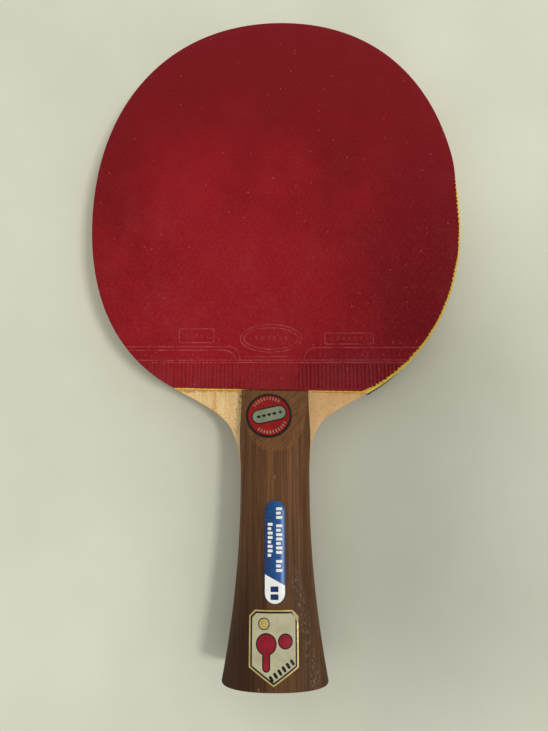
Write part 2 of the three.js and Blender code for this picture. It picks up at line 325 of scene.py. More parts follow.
def section_power(y):
    """The section over each face of the blade is half a superellipse of this power."""
    return NECK_POWER + (BUTT_POWER - NECK_POWER) * grip_share(y)


def on_handle(x, y, height):
    """A point at a height over the handle's crowned surface."""
    power = section_power(y)
    across = np.minimum(1, np.abs(x) / handle_half_width(y))
    surface = BLADE_HALF + (crown_height(y) - BLADE_HALF) * (1 - across**power) ** (1 / power)
    return np.stack([x, y, surface + height], axis=1)


def ramp_height(y):
    return RAMP_TOP_Z - RAMP_SLOPE * y


def on_ramp(across, along, height):
    """A point of the round badge: across and along the ramp from its middle, and over it."""
    tilt = math.atan(RAMP_SLOPE)
    x = ROUND_BADGE["x"] + across
    y = ROUND_BADGE["y"] + along * math.cos(tilt) + height * math.sin(tilt)
    z = ramp_height(ROUND_BADGE["y"]) - along * math.sin(tilt) + height * math.cos(tilt)
    return np.stack([x, y, z + 0 * x], axis=1)


# ---- meshes

def joined(*parts):
    points, faces, start = [], [], 0
    for part_points, part_faces in parts:
        points.append(part_points)
        faces += [[i + start for i in face] for face in part_faces]
        start += len(part_points)
    return np.concatenate(points), faces


def mirrored(part):
    """The part turned over to the other face of the blade."""
    points, faces = part
    return points * [1, 1, -1], [face[::-1] for face in faces]


def point_tree(outline):
    tree = kdtree.KDTree(len(outline))
    for i, (x, y) in enumerate(outline):
        tree.insert((x, y, 0), i)
    tree.balance()
    return tree


def inner_grid(ring, spacing, low_y=-math.inf, high_y=math.inf):
    """Evenly spaced points inside a ring, clear of its edge."""
    tree = point_tree(ring)
    ahead = np.roll(ring, -1, axis=0)
    points = []
    start = max(ring[:, 1].min(), low_y)
    end = min(ring[:, 1].max(), high_y)
    for y in np.arange(start + spacing / 2, end, spacing):
        crossing = (ring[:, 1] > y) != (ahead[:, 1] > y)
        a, b = ring[crossing], ahead[crossing]
        cuts = np.sort(a[:, 0] + (y - a[:, 1]) * (b[:, 0] - a[:, 0]) / (b[:, 1] - a[:, 1]))
        for first, last in zip(cuts[::2], cuts[1::2]):
            row = np.arange(math.ceil(first / spacing), last / spacing) * spacing
            points += [(x, y) for x in row if tree.find((x, y, 0))[2] > 0.6 * spacing]
    return np.array(points).reshape(-1, 2)


def inner_points(ring, grids):
    return np.concatenate([np.empty((0, 2)), *(inner_grid(ring, *grid) for grid in grids)])


def filled(ring, inner):
    """Anticlockwise triangles over a ring and the points inside it."""
    count = len(ring)
    points = [Vector(p) for p in np.concatenate([ring, inner])]
    edges = [(i, (i + 1) % count) for i in range(count)]
    found, _, faces, *_ = delaunay_2d_cdt(points, edges, [], 1, 1e-9)
    if len(found) != len(points):
        raise ValueError("an outline crosses itself or has two points in one place")
    return [list(face) for face in faces]


def walls(count, rings):
    """Four-sided faces between stacked rings of points."""
    faces = []
    for start in range(0, count * (rings - 1), count):
        for i in range(count):
            j = (i + 1) % count
            faces.append([start + i, start + j, start + count + j, start + count + i])
    return faces


def slab(outline, rows, surface=flat, inner=(), relief=None):
    """A closed body: the outline's rings, stacked through rows of (inset, height).

    inner is the list of grids, each (spacing, low y, high y), that let its ends follow a
    surface, and relief is the height that its top adds to that surface.
    """
    rings = [moved_in(outline, inset) for inset, _ in rows]
    count = len(outline)
    points = [surface(*ring.T, height) for ring, (_, height) in zip(rings, rows)]
    faces = walls(count, len(rows))
    inside = inner_points(rings[-1], inner)
    last = count * (len(rows) - 1)
    faces += [[i + last for i in face] for face in filled(rings[-1], inside)]
    points.append(surface(*inside.T, rows[-1][1]))
    if relief is not None:
        for part in points[-2:]:
            part[:, 2] += relief(part[:, 0], part[:, 1])
    below = inner_points(rings[0], () if surface is flat else inner)
    bottom = sum(len(part) for part in points)
    for face in filled(rings[0], below):
        faces.append([i if i < count else i - count + bottom for i in face][::-1])
    points.append(surface(*below.T, rows[0][1]))
    return np.concatenate(points), faces


def loft(rings):
    """A closed body through rings of equal length, anticlockwise as seen from the last one."""
    count = len(rings[0])
    last = (len(rings) - 1) * count
    ends = [list(range(count))[::-1], list(range(last, last + count))]
    return np.concatenate(rings), walls(count, len(rings)) + ends


def prism(polygon, low, high):
    """A straight closed column over an anticlockwise polygon."""
    return loft([flat(*polygon.T, z) for z in (low, high)])


def placed(name, data):
    made = bpy.data.objects.new(name, data)
    bpy.context.scene.collection.objects.link(made)
    return made


def add_piece(name, part, material, slot, replaces=(), sharp_angle=35):
    """Makes the named piece, which rides on the paddle's one body."""
    points, faces = part
    mesh = bpy.data.meshes.new(name)
    mesh.from_pydata((ORIGIN + points * MM).tolist(), [], faces)
    mesh.shade_smooth()
    mesh.set_sharp_from_angle(angle=math.radians(sharp_angle))
    mesh.materials.append(MATERIALS[material])
    piece = placed(name, mesh)
    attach(piece, "root")
    if replaces:
        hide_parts(*replaces)


def add_pair(piece, part, material, slot, node, sharp_angle=35):
    """The piece of a node in front, and the same part turned over for the one behind."""
    add_piece("front_" + piece, part, material, slot, ["front_" + node], sharp_angle)
    add_piece("back_" + piece, mirrored(part), material, slot, ["back_" + node], sharp_angle)


# ---- material tools

def srgb(red, green, blue):
    """A colour given as 0 to 255 in the usual way, as the renderer's linear colour."""
    def linear(value):
        value /= 255
        return value / 12.92 if value <= 0.04045 else ((value + 0.055) / 1.055) ** 2.4
    return linear(red), linear(green), linear(blue), 1


class Nodes:
    """A node tree, to which nodes are added with their inputs linked or set."""

    def __init__(self, tree):
        self.tree = tree

    def put(self, socket, value):
        if isinstance(value, bpy.types.NodeSocket):
            self.tree.links.new(value, socket)
        else:
            socket.default_value = value

    def node(self, kind, inputs, output=0, **settings):
        made = self.tree.nodes.new("ShaderNode" + kind)
        for name, value in settings.items():
            setattr(made, name, value)
        for key, value in inputs.items():
            self.put(made.inputs[key], value)
        return made.outputs[output]


class Look(Nodes):
    """A Principled material whose pattern is built from nodes, in millimetres of the paddle."""

    def __init__(self, name, **settings):
        self.material = bpy.data.materials.new(name)
        self.material.use_nodes = True
        super().__init__(self.material.node_tree)
        self.shader = self.tree.nodes["Principled BSDF"]
        self.set(**settings)

    def set(self, **settings):
        """Shader inputs by name, with _ for a space: a socket is linked and a value is stored."""
        for name, value in settings.items():
            self.put(self.shader.inputs[name.replace("_", " ")], value)

    def place(self, stretch=(1, 1, 1)):
        """Position in the paddle's frame, in millimetres, stretched along each axis."""
        shifted = self.vector("SUBTRACT", self.node("TexCoord", {}, "Object"), tuple(ORIGIN))
        return self.vector("MULTIPLY", shifted, tuple(share / MM for share in stretch))

    def axis(self, name):
        return self.node("SeparateXYZ", {0: self.place()}, name)

    def maths(self, operation, first, second=0.0):
        return self.node("Math", {0: first, 1: second}, operation=operation)

    def times(self, first, second):
        return self.maths("MULTIPLY", first, second)

    def plus(self, first, second):
        return self.maths("ADD", first, second)

    def vector(self, operation, first, second=(0, 0, 0), output=0):
        return self.node("VectorMath", {0: first, 1: second}, output, operation=operation)

    def noise(self, scale, detail, roughness=0.5, stretch=(1, 1, 1), vector=None, distortion=0.0):
        """Noise over the paddle, or over another vector; the scale is in waves a millimetre."""
        inputs = {"Vector": vector or self.place(stretch), "Scale": scale, "Detail": detail,
                  "Roughness": roughness, "Distortion": distortion}
        return self.node("TexNoise", inputs)

    def between(self, value, low, high, start=0.0, end=1.0):
        """A smooth step from start to end as the value goes from low to high."""
        return self.node("MapRange", {"Value": value, "From Min": low, "From Max": high,
                                      "To Min": start, "To Max": end},
                         interpolation_type="SMOOTHSTEP")

    def mix(self, share, *colours):
        """A mix of two colours, each a socket or its red, green and blue from 0 to 255."""
        first, second = (colour if isinstance(colour, bpy.types.NodeSocket) else srgb(*colour)
                         for colour in colours)
        return self.node("Mix", {0: share, 6: first, 7: second}, 2, data_type="RGBA")

    def over(self, share, colour, strength=1.0):
        """Lays a colour over the one so far, as strongly as the share and the strength say."""
        self.colour = self.mix(self.times(share, strength), self.colour, colour)

    def finish(self, height, depth, **settings):
        """Gives the material its colour, a bump with a depth in millimetres, and other settings."""
        bump = self.node("Bump", {"Height": height, "Distance": depth * MM, "Strength": 1.0})
        self.set(Base_Color=self.colour, Normal=bump, **settings)
        return self.material

    def specks(self, scale, size, share, stretch=(1, 1, 1)):
        """A mask of scattered specks: how many a millimetre, their size, and the share kept."""
        cells = {"Vector": self.place(stretch), "Scale": scale}
        dot = self.between(self.node("TexVoronoi", cells, "Distance"), size, size * 0.4)
        lot = self.node("SeparateXYZ", {0: self.node("TexVoronoi", cells, "Color")}, "X")
        return self.times(dot, self.maths("GREATER_THAN", lot, 1 - share))


# ---- materials

# Printed materials: colour, shade, and then roughness, metallic share and coat where they differ
PRINTS = {
    "black_ink": ((15, 14, 16), (26, 24, 26)),
    "badge_red": ((148, 21, 15), (132, 16, 12)),
    "badge_grey": ((130, 136, 110), (116, 122, 98)),
    "worn_print": ((166, 128, 106), (140, 102, 84)),
    "white_ink": ((250, 249, 245), (241, 241, 238), 0.3),
    "navy_ink": ((22, 44, 96), (28, 52, 108), 0.3),
    "cream_paper": ((192, 186, 154), (178, 171, 138), 0.35, 0.0, 0.2),
    "gold_ink": ((206, 186, 122), (186, 162, 96), 0.35, 0.3),
    "crimson_ink": ((152, 20, 38), (122, 14, 28), 0.28, 0.0, 0.4),
    "bare_paper": ((208, 188, 150), (186, 160, 120), 0.8),
}

# Dark spots on the left wing: x, y and radius
SPOTS = ((-13.0, -2.2, 0.5), (-13.3, -4.6, 0.34), (-14.7, -7.1, 0.4), (-15.1, -11.0, 0.32),
         (-19.0, -0.6, 0.3))


def pip_lattice(look):
    """A wave that is highest over each pimple of the triangular lattice."""
    wave = 2 * math.pi / PIP_PITCH
    total = 0.0
    for x, y in (1, -1), (1, 1), (0, 2):
        row = (wave * x, wave * y / math.sqrt(3), 0)
        turn = look.vector("DOT_PRODUCT", look.place(), row, "Value")
        total = look.plus(look.maths("COSINE", turn), total)
    return look.between(total, -1.5, 3)


def played_and_lit_share(look):
    """1 in the middle of the sheet, where most balls land and where painted light also falls, and 0 near
    its edge.
    """
    cloud = look.noise(0.03, 3, 0.6)
    from_middle = look.vector("SUBTRACT", look.place(), (*PLAYED_AND_LIT_MIDDLE, 0))
    reach = look.vector("MULTIPLY", from_middle, (1 / PLAYED_AND_LIT_REACH[0], 1 / PLAYED_AND_LIT_REACH[1], 0))
    reach = look.vector("LENGTH", reach, output="Value")
    return look.between(look.plus(reach, look.between(cloud, 0.2, 0.8, 0.3, -0.3)), 1.1, 0.2)


def lay_dust(look, dust, share):
    """A cloudy film of dust, which is thicker towards the handle and among the ribs."""
    y = look.axis("Y")
    film = look.noise(0.09, 4, 0.65, (1, 0.6, 1))
    film = look.times(look.between(film, 0.45, 0.8), look.between(y, 120, 20, 0.2, 1))
    look.over(film, dust, share)
    look.over(look.between(y, 14, 6, 0, share * 0.7), dust)


def lay_mottle(look, dust, mottle_and_groove_shade):
    """Fine pale and dark mottling, stronger towards the handle, with scattered pale specks."""
    mottle = look.noise(1.4, 3, 0.75)
    grimy = look.between(look.axis("Y"), 130, 25, 0.25, 1)
    look.over(look.between(mottle, 0.5, 0.68, 0, 0.08), dust, grimy)
    look.over(look.between(mottle, 0.5, 0.32, 0, 0.16), mottle_and_groove_shade, grimy)
    specks = look.maths("MAXIMUM", look.specks(0.33, 0.11, 0.3), look.specks(0.1, 0.045, 0.35))
    look.over(specks, dust, 0.45)


def mark_moulding(look, dust, mottle_and_groove_shade):
    """Dust caught on the raised lines, and painted shade in the grooves."""
    flat_top = node_span("front_topsheet")[1]
    height = look.maths("ABSOLUTE", look.axis("Z"))
    patchy = look.between(look.noise(0.35, 3, 0.6), 0.35, 0.65, 0.25, 1)
    caught = look.times(patchy, look.between(height, flat_top + 0.07, flat_top + 0.12))
    look.over(caught, dust, 0.5)
    # Painted shade: the grooves are coloured darker
    groove_shade = look.times(look.between(height, flat_top - 0.02, flat_top - 0.1),
                      look.between(height, flat_top - 0.3, flat_top - 0.2))
    look.over(groove_shade, mottle_and_groove_shade, 0.46)


def rubber(name, deep, worn, dust, mottle_and_groove_shade, dust_share):
    """Moulded rubber, paler in the middle from play and from painted light there."""
    look = Look(name, Specular_IOR_Level=0.07)
    # The worn colour is the paler middle: partly wear from play, partly painted light
    look.colour = look.mix(played_and_lit_share(look), deep, worn)
    lattice = pip_lattice(look)
    look.over(look.between(lattice, 0, 1, 0, 0.012), dust)
    lay_dust(look, dust, dust_share)
    lay_mottle(look, dust, mottle_and_groove_shade)
    mark_moulding(look, dust, mottle_and_groove_shade)
    grain = look.noise(2.2, 3, 0.6)
    grease = look.noise(0.05, 3)
    return look.finish(look.plus(look.times(lattice, 0.3), grain), 0.02,
                       Roughness=look.between(grease, 0.3, 0.7, 0.4, 0.52))


def sponge_material():
    """Yellow foam with darker pores, painted brown over the handle as the shade of the groove by the
    scale's top.
    """
    look = Look("yellow sponge", Roughness=0.92, Specular_IOR_Level=0.2)
    pores = look.noise(3.2, 3, 0.6)
    tone = look.noise(0.2, 2)
    look.colour = look.mix(look.between(tone, 0.3, 0.7), (255, 230, 98), (255, 216, 78))
    look.over(look.between(pores, 0.48, 0.34), (222, 162, 46))
    x, y = look.axis("X"), look.axis("Y")
    over_handle = look.times(look.between(x, -12.6, -9.5), look.between(x, 12.8, 12.5))
    shade_over_handle = look.times(over_handle, look.between(y, 2, 1))
    # Painted shade: the strip of foam just above the handle is coloured brown
    look.over(shade_over_handle, (168, 112, 74), 0.92)
    return look.finish(pores, 0.12)


def glue_material():
    look = Look("dried glue", Roughness=0.45)
    cloud = look.noise(0.6, 3, 0.6)
    look.colour = look.mix(cloud, (196, 150, 92), (150, 102, 54))
    return look.finish(cloud, 0.05)


def veneer(name, light, dark, pore, pore_share=0.5):
    """Pale wood with its grain along the handle."""
    look = Look(name, Roughness=0.62, Specular_IOR_Level=0.3)
    bands = look.noise(0.32, 3, 0.6, (1, 0.05, 1), distortion=0.3)
    look.colour = look.mix(look.between(bands, 0.3, 0.7), light, dark)
    fibres = look.noise(3.2, 3, 0.65, (1, 0.07, 1))
    look.over(look.between(fibres, 0.42, 0.75, 0, 0.32), dark)
    vessels = look.noise(3.4, 2, 0.5, (1, 0.24, 1))
    pores = look.between(vessels, 0.59, 0.7)
    look.over(pores, pore, pore_share)
    look.finish(look.maths("SUBTRACT", fibres, pores), 0.03)
    return look


def mark_glue_stains(look, x, y):
    """Glue that soaked in below the red sheet at the left, and a streak down the left wing."""
    ragged = look.noise(0.5, 3, 0.6)
    reach = look.plus(y, look.between(ragged, 0.3, 0.7, -0.6, 0.6))
    from_edge = look.plus(reach, look.times(x, 0.0174))
    stain = look.times(look.between(from_edge, -1.3, -0.5), look.between(x, -12, -16))
    look.over(stain, (158, 102, 48), 0.6)
    wander = look.noise(0.8, 2, stretch=(0.5, 0.6, 1))
    from_streak = look.plus(x, look.between(wander, 0.2, 0.8, 22.4, 23.8))
    streak = look.between(look.maths("ABSOLUTE", from_streak), 0.9, 0.1)
    streak = look.times(streak, look.between(ragged, 0.3, 0.6, 0.3, 1))
    look.over(streak, (210, 134, 66), 0.6)


def mark_spots(look):
    """Dark spots on the left wing beside the handle."""
    for x, y, radius in SPOTS:
        away = look.vector("DISTANCE", look.place((1, 1, 0)), (x, y, 0), "Value")
        look.over(look.between(away, radius, radius * 0.4, 0, 0.85), (52, 26, 22))


def face_veneer_material():
    """The blade's outer veneer: handled, specked with pores, and stained beside the rubber."""
    look = veneer("pale veneer", (242, 210, 152), (232, 192, 134), (158, 110, 64))
    x, y = look.axis("X"), look.axis("Y")
    look.over(look.between(x, 11, 16, 0, 0.5), (222, 164, 108))
    flecks = look.noise(2.0, 2, 0.6, (1, 0.55, 1))
    look.over(look.between(flecks, 0.5, 0.7, 0, 0.4), (176, 118, 70))
    look.over(look.specks(0.45, 0.12, 0.4, (1, 0.7, 1)), (92, 56, 32), 0.5)
    mark_glue_stains(look, x, y)
    blotch = look.noise(0.9, 2, stretch=(1, 0.5, 1))
    blotch = look.times(look.between(blotch, 0.56, 0.7), look.between(y, -6, -10))
    look.over(blotch, (214, 142, 78), 0.4)
    mark_spots(look)
    dirt = look.noise(0.14, 3, 0.6)
    look.over(look.between(dirt, 0.45, 0.8, 0, 0.2), (170, 120, 74))
    look.set(Base_Color=look.colour)
    return look.material


def ramp_share(look, y, z):
    """1 on the sanded ramp at the handle's top, and 0 elsewhere on the handle."""
    over_ramp = look.maths("SUBTRACT", look.plus(look.times(y, RAMP_SLOPE), z), RAMP_TOP_Z)
    return look.between(look.maths("ABSOLUTE", over_ramp), 0.3, 0.08)


def mark_sanding(look, ramp):
    """Slanting sanding lines over the ramp."""
    slant = look.node("VectorRotate", {"Vector": look.place(), "Angle": math.radians(-45)},
                      rotation_type="Z_AXIS")
    sanding = look.noise(2.1, 2, 0.6, vector=look.vector("MULTIPLY", slant, (0.07, 1, 0)))
    look.over(look.between(sanding, 0.42, 0.64, 0, 0.6), (76, 50, 31), ramp)


def mark_handling(look, x, y):
    """Dark dirt that grows towards the butt, with painted shade that makes it stronger on the handle's
    left, and the rubbed strip beside the name plate.
    """
    # Painted shade: the dirt is made stronger on the handle's left, the side away from the light
    grime_and_left_shade = look.times(look.between(y, -36, -94, 0.24, 1), look.between(x, 4, -12, 0.38, 1))
    look.over(grime_and_left_shade, (44, 26, 14), 0.86)
    strip = look.plus(look.times(y, -0.19), -5.2)
    aside = look.maths("ABSOLUTE", look.maths("SUBTRACT", x, strip))
    stained = look.times(look.between(aside, 9, 2), look.between(y, -36, -60))
    look.over(stained, (62, 44, 33), 0.35)
    rub = look.between(look.noise(2.6, 4, 0.75, (1, 0.3, 1)), 0.54, 0.68)
    where = look.times(look.between(aside, 3.0, 0.4), look.between(y, -56, -70))
    look.over(look.times(rub, where), (186, 168, 150), 0.55)
    look.over(look.specks(0.2, 0.07, 0.3, (1, 0.4, 1)), (176, 140, 108), 0.35)


def walnut_material():
    """Dark straight-grained wood, paler over the ramp."""
    look = Look("walnut", Specular_IOR_Level=0.12)
    x, y, z = look.axis("X"), look.axis("Y"), look.axis("Z")
    ramp = ramp_share(look, y, z)
    sway = look.noise(0.12, 2, stretch=(1, 0.04, 1))
    along_grain = look.node("CombineXYZ", {0: look.plus(x, look.times(sway, 4.0)),
                                           1: look.times(y, 0.012), 2: look.times(z, 0.35)})
    bands = look.noise(0.33, 2, 0.5, vector=along_grain)
    lines = look.noise(0.95, 4, 0.72, vector=along_grain)
    fine = look.noise(2.6, 2, 0.6, vector=along_grain)
    look.colour = look.mix(look.between(bands, 0.3, 0.7), (123, 83, 50), (97, 64, 39))
    look.over(ramp, (142, 96, 58), 0.6)
    strength = look.between(ramp, 0, 1, 1, 0.4)
    streaks = (
        (lines, 0.48, 0.68, 0.6, (60, 33, 16)),
        (lines, 0.44, 0.3, 0.5, (152, 114, 88)),
        (fine, 0.5, 0.66, 0.5, (60, 33, 15)),
    )
    for pattern, start, full, share, tone in streaks:
        look.over(look.between(pattern, start, full, 0, share), tone, strength)
    fibres = look.noise(5, 2, 0.6, (1, 0.05, 1))
    look.over(look.between(fibres, 0.5, 0.75, 0, 0.4), (58, 37, 24))
    pores = look.between(look.noise(4.6, 1, 0.5, (1, 0.16, 1)), 0.66, 0.76)
    look.over(pores, (44, 28, 18), 0.5)
    mark_sanding(look, ramp)
    mark_handling(look, x, y)
    return look.finish(look.maths("SUBTRACT", look.times(lines, 0.6), pores), 0.04,
                       Roughness=look.between(bands, 0.3, 0.7, 0.52, 0.66))


def printed(name, colour, shade, roughness=0.35, metallic=0.0, coat=0.0):
    """Ink, enamel or foil with fine wear and a slightly uneven colour."""
    look = Look(name, Metallic=metallic, Coat_Weight=coat, Specular_IOR_Level=0.2)
    cloud = look.noise(0.25, 3, 0.6)
    look.colour = look.mix(look.between(cloud, 0.3, 0.7), colour, shade)
    look.over(look.specks(0.9, 0.1, 0.12), (200, 190, 170), 0.3)
    rough = look.noise(0.8, 3, 0.6)
    rough = look.between(rough, 0.3, 0.7, roughness * 0.8, roughness * 1.25)
    return look.finish(look.noise(3, 2), 0.01, Roughness=rough)


def blue_foil_material():
    """Brushed blue foil that is darker on its left."""
    look = Look("blue foil", Metallic=0.35, Roughness=0.28)
    left_to_right = look.between(look.axis("X"), -PLATE["half_width"], PLATE["half_width"])
    look.colour = look.mix(left_to_right, (12, 58, 116), (30, 102, 174))
    brushed = look.noise(3, 2, stretch=(0.2, 1, 1))
    look.over(look.between(brushed, 0.4, 0.8, 0, 0.2), (88, 140, 200))
    return look.finish(brushed, 0.01)


def resin_material():
    """Clear resin: light goes straight through it, and its outer skin mirrors the room."""
    look = Look("clear resin")
    look.tree.nodes.remove(look.shader)
    clear = look.node("BsdfTransparent", {"Color": (1, 1, 1, 1)})
    mirror = look.node("BsdfGlossy", {"Roughness": 0.22})
    from_inside = look.node("NewGeometry", {}, "Backfacing")
    share = look.node("Math", {0: look.node("Fresnel", {"IOR": 1.3}), 1: from_inside},
                      operation="SUBTRACT", use_clamp=True)
    both = look.node("MixShader", {0: share, 1: clear, 2: mirror})
    look.put(look.tree.nodes["Material Output"].inputs[0], both)
    return look.material


def make_materials():
    materials = {
        # Rubbers: deep colour, the paler middle's colour (play wear and painted light), dust, and dark
        # mottle that is also the painted shade of the grooves
        "red_rubber": rubber("red rubber", (117, 14, 22), (145, 21, 31),
                             (200, 110, 112), (58, 5, 9), 0.05),
        "black_rubber": rubber("black rubber", (24, 23, 25), (36, 35, 37),
                               (120, 118, 116), (10, 10, 11), 0.12),
        "sponge": sponge_material(),
        "glue": glue_material(),
        "face_veneer": face_veneer_material(),
        "inner_veneer": veneer("inner veneer", (196, 150, 98), (168, 118, 72),
                               (110, 70, 40)).material,
        "core_wood": veneer("core wood", (224, 196, 152), (202, 168, 120),
                            (150, 112, 72), 0.3).material,
        "walnut": walnut_material(),
        "blue_foil": blue_foil_material(),
        "resin": resin_material(),
    }
    for name, settings in PRINTS.items():
        materials[name] = printed(name.replace("_", " "), *settings)
    return materials


# ---- rubber

def box_distance(x, y, left, right, low, high, corner=0.0):
    """Signed distance to a box with rounded corners."""
    across = np.abs(x - (left + right) / 2) - (right - left) / 2 + corner
    along = np.abs(y - (low + high) / 2) - (high - low) / 2 + corner
    outside = np.hypot(np.maximum(across, 0), np.maximum(along, 0))
    return outside + np.minimum(np.maximum(across, along), 0) - corner


def oval_distance(x, y, middle, half_width, half_height):
    """About the signed distance to an ellipse."""
    across, along = (x - middle[0]) / half_width, (y - middle[1]) / half_height
    reach = np.maximum(np.hypot(across, along), 1e-6)
    slope = np.hypot(across / half_width, along / half_height) / reach
    return (reach - 1) / np.maximum(slope, 1e-6)


def ridge(distance):
    """A narrow raised line where a distance is near zero."""
    return smoothstep(RIDGE, 0, np.abs(distance))


def raised(distance):
    """A raised field where a distance is below zero."""
    return smoothstep(RIDGE / 2, -RIDGE / 2, distance)


def dashes(x, y, left, right, low, high, pitch, share=0.6):
    """A row of short raised bars."""
    middle = left + (np.floor((x - left) / pitch) + 0.5) * pitch
    inside = (x > left) & (x < right)
    half = pitch * share / 2
    return raised(box_distance(x, y, middle - half, middle + half, low, high, 0.3)) * inside


def grooves(x, y):
    """Upright grooves along the sheet's lower edge, worn faint in the middle."""
    wave = smoothstep(0.1, 0.75, np.cos(2 * math.pi * x / RIB_PITCH))
    kept = np.maximum(0.32, np.maximum(0.55 * smoothstep(-7, -15, x), smoothstep(6, 11, x)))
    return wave * kept * smoothstep(RIB_TOP_Y, RIB_TOP_Y - 0.5, y) * smoothstep(0.1, 0.6, y)


def frame_line(x, y, left, right, high, corner=4.5):
    """A raised line with round upper corners that stands on the line above the ribs."""
    return ridge(box_distance(x, y, left, right, high - 30, high, corner)) * (y > FRAME_LOW_Y)


def moulding(x, y):
    """Height of the plain raised lines and bars, and the grooves, of the sheet's lower end."""
    lines = [
        ridge(y - FRAME_LOW_Y),
        ridge(y - 10.3) * (x > -19),
        dashes(x, y, -47, -19, 9.95, 10.6, RIB_PITCH, 0.62),
        *(frame_line(x, y, *ends) for ends in FRAME_LINES),
        ridge(box_distance(x, y, 19, 37.4, 17.4, 21.6, 0.4)),
        ridge(box_distance(x, y, -36.6, -23.4, 18.0, 23.4, 0.6)),
        ridge(oval_distance(x, y, (-1.6, 19.6), 11.6, 5.4)),
        ridge(oval_distance(x, y, (-1.6, 19.6), 10.2, 4.2)),
        ridge(y - 12.6) * (x > -12) * (x < 4.5),
        ridge(y - 7.4) * (x > -12) * (x < 9) * 0.72,
    ]
    bars = [dashes(x, y, *row) for row in BAR_ROWS]
    height = np.max(lines, axis=0) * RIDGE_HEIGHT
    height = np.maximum(height, np.max(bars, axis=0) * BAR_HEIGHT)
    return height - grooves(x, y) * GROOVE_DEPTH


def pips(outline, low, high):
    """Pimples between the sponge and the sheet's skin near its cut edge, which slices them too."""
    outwards = right_of(unit(np.roll(outline, -1, axis=0) - np.roll(outline, 1, axis=0)))
    tree = point_tree(outline)
    disc = circle(PIP_RADIUS, 12)
    rise = PIP_PITCH * math.sqrt(3) / 2
    reach = math.ceil(np.abs(outline[:, 0]).max() / PIP_PITCH) + 1
    parts = []
    for row in range(-1, math.ceil(outline[:, 1].max() / rise) + 1):
        for column in range(-reach, reach + 1):
            middle = np.array([(column + row % 2 / 2) * PIP_PITCH, row * rise])
            nearest = tree.find((*middle, 0))[1]
            edge, out = outline[nearest], outwards[nearest]
            if -PIP_BAND < (middle - edge) @ out < PIP_RADIUS * 0.7:
                parts.append(prism(clipped(middle + disc, edge, out), low, high))
    return joined(*parts)


def clipped(polygon, edge, outwards):
    """The part of a polygon that lies inside a straight edge."""
    beyond = (polygon - edge) @ outwards
    points = []
    for i, point in enumerate(polygon):
        j = (i + 1) % len(polygon)
        if beyond[i] <= 0:
            points.append(point)
        if (beyond[i] <= 0) != (beyond[j] <= 0):
            share = beyond[i] / (beyond[i] - beyond[j])
            points.append(point + (polygon[j] - point) * share)
    return np.array(points)


def red_grow(side, y):
    """The red sheet was cut back with scissors, which left saw teeth, along the lower right."""
    if side is LEFT:
        return 0 * y
    share = smoothstep(RED_TRIM_START_Y, RED_TRIM_FULL_Y, y)
    edge = head_edge(side)
    run = np.concatenate([[0], np.cumsum(np.linalg.norm(np.diff(edge, axis=0), axis=1))])
    wander = np.array([noise.noise(Vector((v * 0.12, 3.7, 0))) for v in run])
    turn = (run / TOOTH_PITCH + wander) % 1
    tooth = np.minimum(turn / 0.7, (1 - turn) / 0.3)
    return -share * (RED_TRIM + TOOTH_DEPTH * tooth * (0.8 + wander))


def black_grow(side, y):
    """The black sheet stands proud of the blade's edge, but not along the lower left."""
    share = smoothstep(BACK_FLUSH_Y, BACK_PROUD_Y, y) if side is LEFT else 1 + 0 * y
    return BACK_RUBBER_PROUD * share


def sheet_part(outline, low, high, fine):
    """A pimples-in topsheet: a moulded skin with its pimples underneath, closed off behind them."""
    skin = high - SHEET_SKIN
    rounded = [(SHEET_ROUNDING * (1 - math.cos(a)), high - SHEET_ROUNDING * (1 - math.sin(a)))
               for a in np.radians((0, 30, 60, 90))]
    top = slab(outline, [(0, skin), *rounded], relief=moulding,
               inner=[(fine, -5, RELIEF_TOP_Y), (4, RELIEF_TOP_Y + 2, 200)])
    middle = (outline.min(axis=0) + outline.max(axis=0)) / 2
    shrink = 1 - 2 * PIP_BAND / np.ptp(outline, axis=0).min()
    backing = middle + (outline[::4] - middle) * shrink
    return joined(top, slab(backing, [(0, low), (0, skin)]), pips(outline, low, skin))


def add_rubbers():
    low, high = node_span("front_topsheet")
    red = sheet_part(rubber_outline(red_grow, RED_BELOW), low, high, 0.32)
    add_piece("red_topsheet", red, "red_rubber", "red_rubber", ["front_topsheet"])
    black = mirrored(sheet_part(rubber_outline(black_grow, 0), low, high, 0.45))
    add_piece("black_topsheet", black, "black_rubber", "black_rubber", ["back_topsheet"])
    foam = sponge_part(*node_span("front_sponge"))
    add_pair("foam", foam, "sponge", "yellow_sponge", "sponge")
    film = glue_part(*node_span("front_glue_film"))
    add_pair("glue", film, "glue", "dried_glue", "glue_film")


def sponge_part(low, high):
    """A sponge sheet whose cut edge is pitted with open pores."""
    outline = rubber_outline(lambda side, y: 0 * y, SPONGE_BELOW)
    rows = []
    for z in np.linspace(low, high, 8):
        pits = [noise.noise(Vector((x * 1.7, y * 1.7, z * 1.9))) for x, y in outline]
        rows.append((0.02 + 0.4 * np.maximum(0, np.array(pits)), z))
    return slab(outline, rows)


def glue_part(low, high):
    """The glue line, squeezed out unevenly along the sheet's lower edge beside the handle."""
    outline = rubber_outline(lambda side, y: -GLUE_INSET + 0 * y, GLUE_BELOW)
    squeezed = [0.3 + 0.25 * noise.noise(Vector((x * 0.35, 5.2, 0))) for x, _ in outline]
    from_middle = np.abs(outline[:, 0])
    at_edge = (outline[:, 1] < 0.8) & (from_middle < 37)
    beside = smoothstep(NECK_HALF_WIDTH + 0.4, NECK_HALF_WIDTH + 2, from_middle)
    outline[:, 1] -= np.maximum(0, squeezed) * at_edge * smoothstep(37, 33, from_middle) * beside
    return slab(outline, [(0, low), (0, (low + high) / 2), (0.06, high)])


# ---- blade and handle

